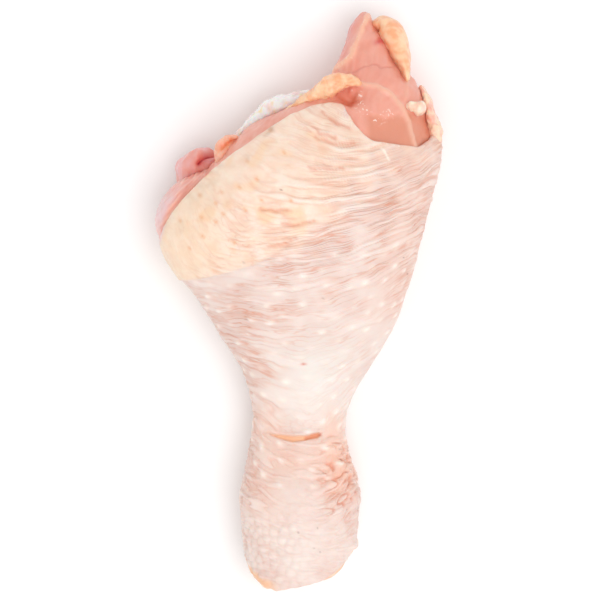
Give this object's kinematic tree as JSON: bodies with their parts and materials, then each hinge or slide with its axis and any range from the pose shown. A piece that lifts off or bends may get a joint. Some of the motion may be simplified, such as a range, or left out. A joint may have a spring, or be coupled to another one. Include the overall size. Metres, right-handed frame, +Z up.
{
  "type": "raw chicken drumstick",
  "caption": "Raw chicken drumstick with wrinkled skin, cut through at the knee and at the ankle, lying on its side; food to lay on a plate, tray or board.",
  "frame": {"origin": "on the surface the leg lies on, below the middle of its bounding box", "axes": "+Z up from the surface, +Y along the leg from the cut ankle to the thick knee end, +X to the right seen from above with the knee end away"},
  "size_m": [0.0692, 0.139, 0.0415],
  "materials": {
    "skin": "moist, satin",
    "flesh": "moist, semi-gloss",
    "outer_muscle": "moist, semi-gloss",
    "yellow_fat": "moist, satin",
    "cartilage": "wet, glossy",
    "joint_tissue": "moist, satin"
  },
  "bodies": {
    "root": {"skin": "skin", "flesh": "flesh", "ankle_joint": "joint_tissue", "side_muscle": "outer_muscle", "knee_muscle": "outer_muscle", "loose_flap": "yellow_fat", "cartilage": "cartilage", "fat_ridge": "yellow_fat", "fat_pad": "yellow_fat", "knee_bead": "cartilage", "corner_fat": "yellow_fat"}
  },
  "joints": []
}
